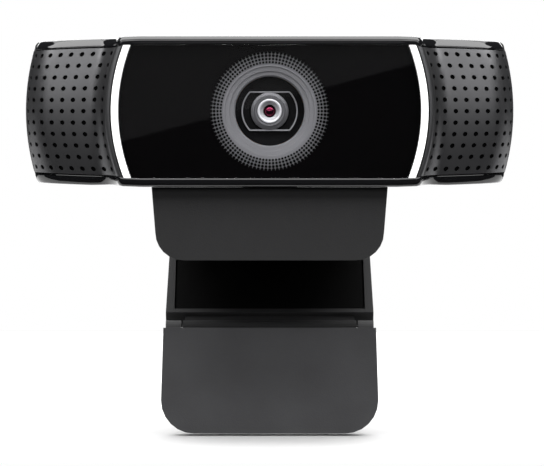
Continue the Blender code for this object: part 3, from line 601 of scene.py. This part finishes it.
def fine_grille(name, side):
    """The perforated wing: every hole is a ring of faces cut right through the skin. Lengths past
    LAST_LINE are shares of what is left of the wing."""
    rows, lines = grille_levels()
    body = bmesh.new()
    made = {}

    def spot(along, height, inset):
        key = (round(along, 5), round(height, 5), round(inset, 5))
        if key not in made:
            reach = along
            if along > LAST_LINE:
                reach = LAST_LINE + (wing_total(height) - LAST_LINE) * (along - LAST_LINE)
            made[key] = body.verts.new(grille_place(side, reach, height, inset))
        return made[key]

    def patch(points, finish=0):
        corners = []
        for vert in points:
            if vert not in corners:
                corners.append(vert)
        if len(corners) > 2:
            body.faces.new(corners).material_index = finish

    edges = [FIRST_COLUMN - COLUMN_PITCH / 2 + COLUMN_PITCH * i for i in range(HOLE_COLUMNS + 1)]
    angles = [radians(225) + 2 * pi * i / HOLE_SIDES for i in range(HOLE_SIDES)]
    for c in range(HOLE_COLUMNS):
        centre = FIRST_COLUMN + COLUMN_PITCH * c
        for r in range(HOLE_ROWS):
            border = cell_border(edges[c], edges[c + 1], lines[r], lines[r + 1])
            rings = [[spot(x, z, GRILLE_INSET) for x, z in border]]
            for radius, sunk in ((HOLE_RADIUS + HOLE_MARGIN, 0), (HOLE_RADIUS, 0), (HOLE_RADIUS, HOLE_DEPTH)):
                rings.append([spot(centre + radius * cos(a), rows[r] + radius * sin(a), GRILLE_INSET + sunk)
                              for a in angles])
            # each hole's wall takes the second, near-black material: painted shade inside the hole
            for level, (outer, inner) in enumerate(zip(rings, rings[1:])):
                for i in range(HOLE_SIDES):
                    j = (i + 1) % HOLE_SIDES
                    patch((outer[i], outer[j], inner[j], inner[i]), 1 if level == 2 else 0)
    columns = [edges[0] * i / 8 for i in range(8)]
    columns += [edges[0] + COLUMN_PITCH * i / 4 for i in range(4 * HOLE_COLUMNS + 1)]
    columns += [LAST_LINE + i / 8 for i in range(1, 9)]
    heights = [lines[0] + ROW_PITCH * i / 4 for i in range(4 * HOLE_ROWS + 1)]
    heights = [-SWELL_REACH] + heights + [SWELL_REACH]
    for c, (left, right) in enumerate(zip(columns, columns[1:])):
        holed = edges[0] - 1e-6 <= left and right <= edges[-1] + 1e-6
        for low, high in zip(heights, heights[1:]):
            if holed and low >= lines[0] - 1e-6 and high <= lines[-1] + 1e-6:
                continue
            corners = ((left, low), (right, low), (right, high), (left, high))
            patch([spot(x, z, GRILLE_INSET) for x, z in corners])
    piece = new_piece(name, body, smooth=45)
    even = piece.modifiers.new("even", "WEIGHTED_NORMAL")
    even.keep_sharp = True
    even.weight = 80
    return piece


def grille_back(name, side):
    """A sheet behind the perforations, coloured near-black: painted shade seen through the holes."""
    rings = []
    for i in range(25):
        height = SWELL_REACH * (i / 12 - 1)
        total = wing_total(height)
        line = [grille_place(side, total * k / 40, height, GRILLE_INSET + 0.3) for k in range(41)]
        back = [grille_place(side, total * k / 40, height, GRILLE_INSET + 0.8) for k in range(40, -1, -1)]
        rings.append(line + back)
    return loft(name, rings)


def fine_cover():
    """The back shell: smooth outlines that shrink to the rear face, thickened inwards, and cut."""
    start = SPLIT_DEPTH + SEAM
    rings = []
    for i in range(25):
        share = sin(pi / 2 * i / 24)
        fall = sqrt(max(0.0, 1 - share * share))
        outline = head_outline(BACK_LENGTH + (HEAD_END + END_BULGE - BACK_LENGTH) * fall,
                               BACK_HEIGHT + (HEAD_TOP - BACK_HEIGHT) * fall)
        depth = start + share * (HEAD_DEPTH - start)
        rings.append([at(x, depth, z) for x, z in outline])
    cover = loft("rear_cover_shell", rings, 40, open_front=True)
    wall = cover.modifiers.new("wall", "SOLIDIFY")
    wall.thickness = COVER_WALL * MM
    wall.offset = -1
    apply_modifiers(cover)
    low, high = (Vector(c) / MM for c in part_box("cover_screw_1"))
    across, up = abs(low.x + high.x) / 2, abs((low.z + high.z) / 2 - LENS_Z)
    cutters = []
    for x in (-across, across):
        for z in (-up, up):
            cutters.append(round_cutter((x, HEAD_DEPTH + 0.1, z), 2.0, 1.9))     # for the screw's head
            cutters.append(round_cutter((x, HEAD_DEPTH - 1.4, z), 1.1, 4.0))     # and its shank
    gland_low, gland_high = (Vector(c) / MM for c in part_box("cable_gland"))
    gland = ((gland_low.x + gland_high.x) / 2, HEAD_DEPTH - 0.8, (gland_low.z + gland_high.z) / 2 - LENS_Z)
    cutters.append(round_cutter(gland, 3.15, 4.0))
    hinge = Vector(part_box("hinge_bracket")[1]) / MM
    pin_depth = (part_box("tilt_pin")[0][1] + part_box("tilt_pin")[1][1]) / 2 / MM - FACE_Y
    cutters.append(box_cutter((0, pin_depth, -13.4), (2 * hinge.x - 4.6, 2.8, 4.6)))
    carve(cover, cutters)
    cover.data.shade_smooth()
    cover.data.set_sharp_from_angle(angle=radians(40))
    return cover


# ---- head: panel, arcs and lens -------------------------------------------------------------------

DOT_COUNT = 96
DOT_ROWS = ((9.56, 0.225), (10.18, 0.255), (10.84, 0.295), (11.5, 0.345))   # (ring radius, dot radius)
PRINT_RADIUS = 11.62                                                        # solid black begins here
MASK_FRONT = 1.4


def panel_print():
    """The black print behind the window, open in a round hole at the lens."""
    outer = resample(panel_outline(PANEL_HALF + 0.15, 0.05), 192)
    hole = circle(PRINT_RADIUS, 192)
    start = min(range(192), key=lambda i: abs(outer[i][1]) + (0 if outer[i][0] > 0 else 99))
    outer = outer[start:] + outer[:start]
    back = MASK_FRONT + 0.35
    rings = [[at(x, depth, z) for x, z in line] for line, depth in
             ((outer, back), (outer, MASK_FRONT), (hole, MASK_FRONT), (hole, back))]
    return ring_loft("window_print", rings)


def resample(outline, count):
    """The outline as evenly spaced points, so that it can be joined to a circle."""
    points = [Vector(p) for p in outline]
    steps = [(points[(i + 1) % len(points)] - p).length for i, p in enumerate(points)]
    total, spaced = sum(steps), []
    i, passed = 0, 0.0
    for k in range(count):
        goal = total * k / count
        while passed + steps[i] < goal:
            passed += steps[i]
            i += 1
        share = (goal - passed) / steps[i]
        here = points[i].lerp(points[(i + 1) % len(points)], share)
        spaced.append((here.x, here.y))
    return spaced


def dot_ring():
    """Rings of small printed dots that grow outward until they meet the solid print."""
    body = bmesh.new()
    for radius, size in DOT_ROWS:
        for i in range(DOT_COUNT):
            angle = 2 * pi * i / DOT_COUNT
            x, z = radius * cos(angle), radius * sin(angle)
            rim = [body.verts.new(at(x + size * cos(a), MASK_FRONT + 0.05, z + size * sin(a)))
                   for a in (2 * pi * k / 12 for k in range(12))]
            body.faces.new(rim)
    for face in bmesh.ops.extrude_face_region(body, geom=list(body.faces))["geom"]:
        if isinstance(face, bmesh.types.BMVert):
            face.co.y += 0.04 * MM
    return new_piece("window_dots", body)


OVAL_RADIUS = 5.52                                      # rim round the lens: a circle cut by two chords
OVAL_FLAT = 3.88
OVAL_WALL = 0.28


def stepped_shroud():
    """The grey ring round the lens: a flat land under the dots, then two grooved steps down."""
    return turned("lens_shroud_ring", [
        (PRINT_RADIUS + 0.2, 1.9), (PRINT_RADIUS + 0.2, 1.62), (8.76, 1.64), (8.74, 1.66), (8.73, 1.80),
        (8.72, 1.82), (7.84, 1.88), (7.82, 1.90), (7.81, 2.06), (7.80, 2.08), (7.02, 2.14), (7.0, 2.16),
        (6.99, 2.30), (6.98, 2.32), (WELL_RADIUS, 2.36), (WELL_RADIUS, 5.2), (7.4, 5.2), (7.4, 3.2),
        (9.2, 2.6), (9.6, 1.9)], sides=160, smooth=28)


def lens_well():
    """The dark plate at the bottom of the shroud, and the raised flat-sided rim that stands on it."""
    plate = turned("focus_cover_plate", [
        (WELL_RADIUS - 0.05, 5.5), (WELL_RADIUS - 0.05, 5.2), (BARREL_RADIUS + 0.2, 5.2),
        (BARREL_RADIUS + 0.2, 5.5)], sides=128)
    dress(plate, WELL, "head")
    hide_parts("focus_cover")
    outer = resample(flattened_circle(OVAL_RADIUS, OVAL_FLAT), 192)
    inner = resample(flattened_circle(OVAL_RADIUS - OVAL_WALL, OVAL_FLAT - OVAL_WALL), 192)
    rings = [[at(x, depth, z) for x, z in line] for line, depth in
             ((outer, 5.25), (outer, 4.18), (inset_outline(outer, 0.05), 4.12),
              (inset_outline(inner, -0.05), 4.12), (inner, 4.18), (inner, 5.25))]
    dress(ring_loft("lens_oval_rim", rings, 30), RIM, "head")


def lens_front():
    """The barrel, the bright ring in it, the grey funnel inside that, and the front element."""
    barrel = turned("lens_barrel_front", [
        (2.50, 3.95), (2.52, 3.80), (2.58, 3.76), (2.90, 3.74), (2.93, 3.76), (2.94, 4.02), (3.00, 4.04),
        (3.02, 3.90), (3.06, 3.86), (3.62, 4.02), (3.68, 4.08), (BARREL_RADIUS, 4.2), (BARREL_RADIUS, 5.9),
        (2.9, 5.9), (2.9, 11.0), (2.3, 11.0), (2.3, 4.8), (2.50, 4.8)], sides=128, smooth=30)
    dress(barrel, BARREL, "lens")
    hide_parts("lens_barrel")
    ring = turned("lens_bright_ring", [
        (1.84, 3.95), (1.86, 3.80), (1.93, 3.68), (2.04, 3.60), (2.16, 3.57), (2.28, 3.60), (2.37, 3.68),
        (2.42, 3.82), (2.42, 4.1), (1.84, 4.1)], sides=128, smooth=60)
    dress(ring, BRIGHT, "lens")
    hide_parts("lens_retaining_ring")
    baffle = turned("lens_baffle", [(1.88, 3.98), (1.86, 3.90), (1.34, 4.12), (1.24, 4.2), (1.22, 4.55)],
                    sides=128, smooth=60, closed=False)
    skin = baffle.modifiers.new("wall", "SOLIDIFY")
    skin.thickness = 0.05 * MM
    apply_modifiers(baffle)
    dress(baffle, BAFFLE, "lens")
    dome = [(0.0, 3.95)] + [(1.2 * sin(a), 3.95 + 1.2 * (1 - cos(a)) * 0.8) for a in
                            (pi / 2 * i / 14 for i in range(1, 15))]
    front = turned("front_lens", dome + [(1.2, 5.2), (0.0, 5.2)], sides=96, smooth=60)
    dress(front, GLASS_FRONT, "lens")
    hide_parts("front_lens_element")


def head_pieces():
    for name, upper in (("upper_rail", True), ("lower_rail", False)):
        rail = dress(fine_rail(name, upper), GLOSS, "head")
        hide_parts("front_frame")
    cover = dress(fine_cover(), SHELL, "head")
    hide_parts("rear_cover")
    window = rounded_slab("window_pane", panel_outline(PANEL_HALF + GAP - 0.02), 0.02, 1.08, 0.14)
    dress(window, PANE, "head")
    window.data.materials.append(PRINT)       # its edges are blackened
    for face in window.data.polygons:
        face.material_index = int(abs(face.normal.y) < 0.9)
    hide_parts("front_window")
    printed = dress(panel_print(), PRINT, "head")
    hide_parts("window_mask")
    dress(dot_ring(), DOTS, "head")
    shroud = dress(stepped_shroud(), SHROUD, "head")
    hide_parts("lens_shroud")
    for name, side in (("right", -1), ("left", 1)):
        arc = rounded_slab(f"{name}_arc_pipe", arc_outline(side), 0.03, 2.2, 0.22)
        dress(arc, LIGHT, "head")
        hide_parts(f"{name}_light_arc")
        skin = dress(fine_grille(f"{name}_grille_skin", side), GRILLE, "head")
        # second material: painted shade for the holes' walls
        skin.data.materials.append(PAINTED_SHADE_BACKING)
        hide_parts(f"{name}_grille")
        dress(grille_back(f"{name}_grille_painted_shade_backing", side), PAINTED_SHADE_BACKING, "head")


# ---- clip, fixings and inside: the CAD's own nodes ------------------------------------------------

CARRIED = {                              # finish, and rounding of the edges
    "clip_base": (CLIP, 0.45), "arm_frame": (CLIP, 0.3), "foot_shell": (FOOT, 0.4),
    "foot_pad": (RUBBER, 0.22), "lip_pad": (PAD_AND_PAINTED_SHADE, 0.25), "screen_rest_pad": (PAD_AND_PAINTED_SHADE, 0.15),
    # the arm pad's near-black is painted shade in the arm's channel
    "arm_pad": (PAD_AND_PAINTED_SHADE, 0.15), "cable_gland": (PAD_AND_PAINTED_SHADE, 0.12), "hinge_bracket": (CLIP, 0.15),
    "tilt_pin": (STEEL, 0.1), "arm_pin": (STEEL, 0.2), "foot_pin": (STEEL, 0.12),
    "tripod_insert": (BRASS, 0.12), "processor_shield": (DARK_STEEL, 0.0), "main_board": (BOARD, 0.0),
    "sensor_board": (BOARD, 0.0), "image_sensor": (SILICON, 0.05), "infrared_filter": (GLASS_FILTER, 0.03),
    "cable_header": (WELL, 0.15), "sensor_connector": (WELL, 0.08), "focus_yoke": (DARK_STEEL, 0.1),
    "focus_base": (WELL, 0.1), "lens_carrier": (WELL, 0.1), "focus_coil": (COPPER, 0.15),
    "front_focus_spring": (COPPER, 0.0), "rear_focus_spring": (COPPER, 0.0),
    "rear_lens_element": (GLASS_FRONT, 0.05),
}
for number in range(1, 5):
    CARRIED[f"focus_magnet_{number}"] = (DARK_STEEL, 0.08)
    CARRIED[f"cover_screw_{number}"] = (STEEL, 0.05)
for number in (1, 2):
    CARRIED[f"board_screw_{number}"] = (STEEL, 0.05)
    CARRIED[f"friction_washer_{number}"] = (STEEL, 0.05)
for side in ("left", "right"):
    CARRIED[f"{side}_microphone"] = (DARK_STEEL, 0.12)
    CARRIED[f"{side}_microphone_board"] = (BOARD, 0.0)
    CARRIED[f"{side}_microphone_boot"] = (PAD_AND_PAINTED_SHADE, 0.1)
    CARRIED[f"{side}_status_led"] = (LIGHT, 0.08)


def carry_over():
    """The CAD nodes whose shape is right keep it: flat areas are merged, edges rounded, and each
    gets its material."""
    for name, (finish, radius) in CARRIED.items():
        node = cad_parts[name]
        node.data.materials.clear()
        node.data.materials.append(finish)
        if not radius:
            continue
        flat = node.modifiers.new("flat", "DECIMATE")
        flat.decimate_type = "DISSOLVE"
        flat.angle_limit = radians(1.5)
        edge = node.modifiers.new("edge", "BEVEL")
        edge.width = radius * MM
        edge.segments = 3
        edge.limit_method = "ANGLE"
        edge.angle_limit = radians(50)
        edge.use_clamp_overlap = True
        smooth = node.modifiers.new("normals", "WEIGHTED_NORMAL")
        smooth.keep_sharp = True
        for face in node.data.polygons:
            face.use_smooth = True


# ---- studio ---------------------------------------------------------------------------------------

IMAGE_WIDTH, IMAGE_HEIGHT = 544, 466
SCALE = 0.1948                       # millimetres across one picture element at the window's face
CARD_POWER = 0.018
CARD_TALL = 90.0
FLOOR_HALF = 0.2                     # metres; the camera sees white past the floor's far edge
FLOOR_AHEAD = 0.02
DISTANCE = 700.0                     # from the camera to the window's face
LENS_COLUMN, LENS_ROW = 0.4957, 0.2385   # where the lens axis stands across and down the frame


def camera():
    """Square on, at the lens's height, turned down to the middle of the frame."""
    data = bpy.data.cameras.new("front_camera")
    data.sensor_width = 36.0
    data.lens = 36.0 * DISTANCE / (IMAGE_WIDTH * SCALE)
    data.clip_start, data.clip_end = 0.01, 20
    eye = at(0, -DISTANCE, 0)
    aim = at((0.5 - LENS_COLUMN) * IMAGE_WIDTH * SCALE, 0, (LENS_ROW - 0.5) * IMAGE_HEIGHT * SCALE)
    made = bpy.data.objects.new("front_camera", data)
    made.location = eye
    made.rotation_euler = (aim - eye).to_track_quat("-Z", "Y").to_euler()
    bpy.context.scene.collection.objects.link(made)
    bpy.context.scene.camera = made


def softbox(name, place, aim, size, power, spin=0.0):
    """A rectangular area light; sizes and places are metres in the frame."""
    data = bpy.data.lights.new(name, "AREA")
    data.shape = "RECTANGLE"
    data.size, data.size_y = size
    data.energy = power
    made = bpy.data.objects.new(name, data)
    made.location = place
    turn = (Vector(aim) - Vector(place)).to_track_quat("-Z", "Y")
    made.rotation_euler = (turn.to_matrix() @ Matrix.Rotation(radians(spin), 3, "Z")).to_euler()
    made.visible_camera = False
    bpy.context.scene.collection.objects.link(made)


def card(low_end, high_end, depth, power):
    """A dim tall card behind the camera. The window mirrors its lower edge as a line across itself,
    from `low_end` to `high_end` given as (x, height) on the window."""
    reach = 1 + depth / DISTANCE
    start, end = (Vector((x * reach, z * reach)) for x, z in (low_end, high_end))
    along = (end - start).normalized()
    up = Vector((-along.y, along.x))
    wide = (end - start).length * 1.6
    middle = (start + end) / 2 + up * CARD_TALL / 2
    place = at(middle.x, -depth, middle.y)
    softbox("card", place, place + Vector((0, 1, 0)), (wide * MM, CARD_TALL * MM), power,
            spin=degrees(atan2(along.y, along.x)))


def studio():
    """Pale floor, four soft boxes and the card, white to the camera and dim to everything else."""
    low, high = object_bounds()
    middle = (Vector(low) + Vector(high)) / 2
    ground = bpy.data.meshes.new("floor")
    body = bmesh.new()
    bmesh.ops.create_grid(body, x_segments=1, y_segments=1, size=FLOOR_HALF)
    body.to_mesh(ground)
    body.free()
    floor = bpy.data.objects.new("floor", ground)
    floor.location = (0, low[1] - FLOOR_AHEAD + FLOOR_HALF, low[2] - 0.0005)
    floor.scale = (3.0, 1.0, 1.0)
    bpy.context.scene.collection.objects.link(floor)
    pale = bpy.data.materials.new("floor_pale")
    pale.use_nodes = True
    shader = pale.node_tree.nodes["Principled BSDF"]
    shader.inputs["Base Color"].default_value = (0.5, 0.5, 0.5, 1)
    shader.inputs["Roughness"].default_value = 0.9
    shader.inputs["Specular IOR Level"].default_value = 0.1
    ground.materials.append(pale)
    floor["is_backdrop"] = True
    softbox("key", middle + Vector((0, -0.33, 0.54)), middle, (1.8, 0.5), 18.0)
    softbox("fill", middle + Vector((0, -0.85, 0.28)), middle, (1.6, 0.25), 4.0)
    card((-29.0, -5.9), (28.0, 9.2), 1000.0, CARD_POWER)
    softbox("top_box", middle + Vector((0, 0.15, 0.60)), middle, (0.9, 0.5), 8.0)
    softbox("back_box", middle + Vector((0, 0.8, 0.5)), middle, (1.0, 0.6), 8.0)
    world = bpy.data.worlds.new("studio")
    bpy.context.scene.world = world
    world.use_nodes = True
    nodes, links = world.node_tree.nodes, world.node_tree.links
    seen = nodes.new("ShaderNodeBackground")
    seen.inputs["Color"].default_value = (1, 1, 1, 1)
    seen.inputs["Strength"].default_value = 1.0
    around = nodes["Background"]
    around.inputs["Color"].default_value = (0.9, 0.93, 1.0, 1)
    around.inputs["Strength"].default_value = 0.03
    path = nodes.new("ShaderNodeLightPath")
    mix = nodes.new("ShaderNodeMixShader")
    links.new(path.outputs["Is Camera Ray"], mix.inputs["Fac"])
    links.new(around.outputs["Background"], mix.inputs[1])
    links.new(seen.outputs["Background"], mix.inputs[2])
    links.new(mix.outputs["Shader"], nodes["World Output"].inputs["Surface"])
    bpy.context.scene.view_settings.view_transform = "Standard"
    bpy.context.scene.view_settings.look = "None"


head_pieces()
lens_well()
lens_front()
carry_over()
camera()
studio()
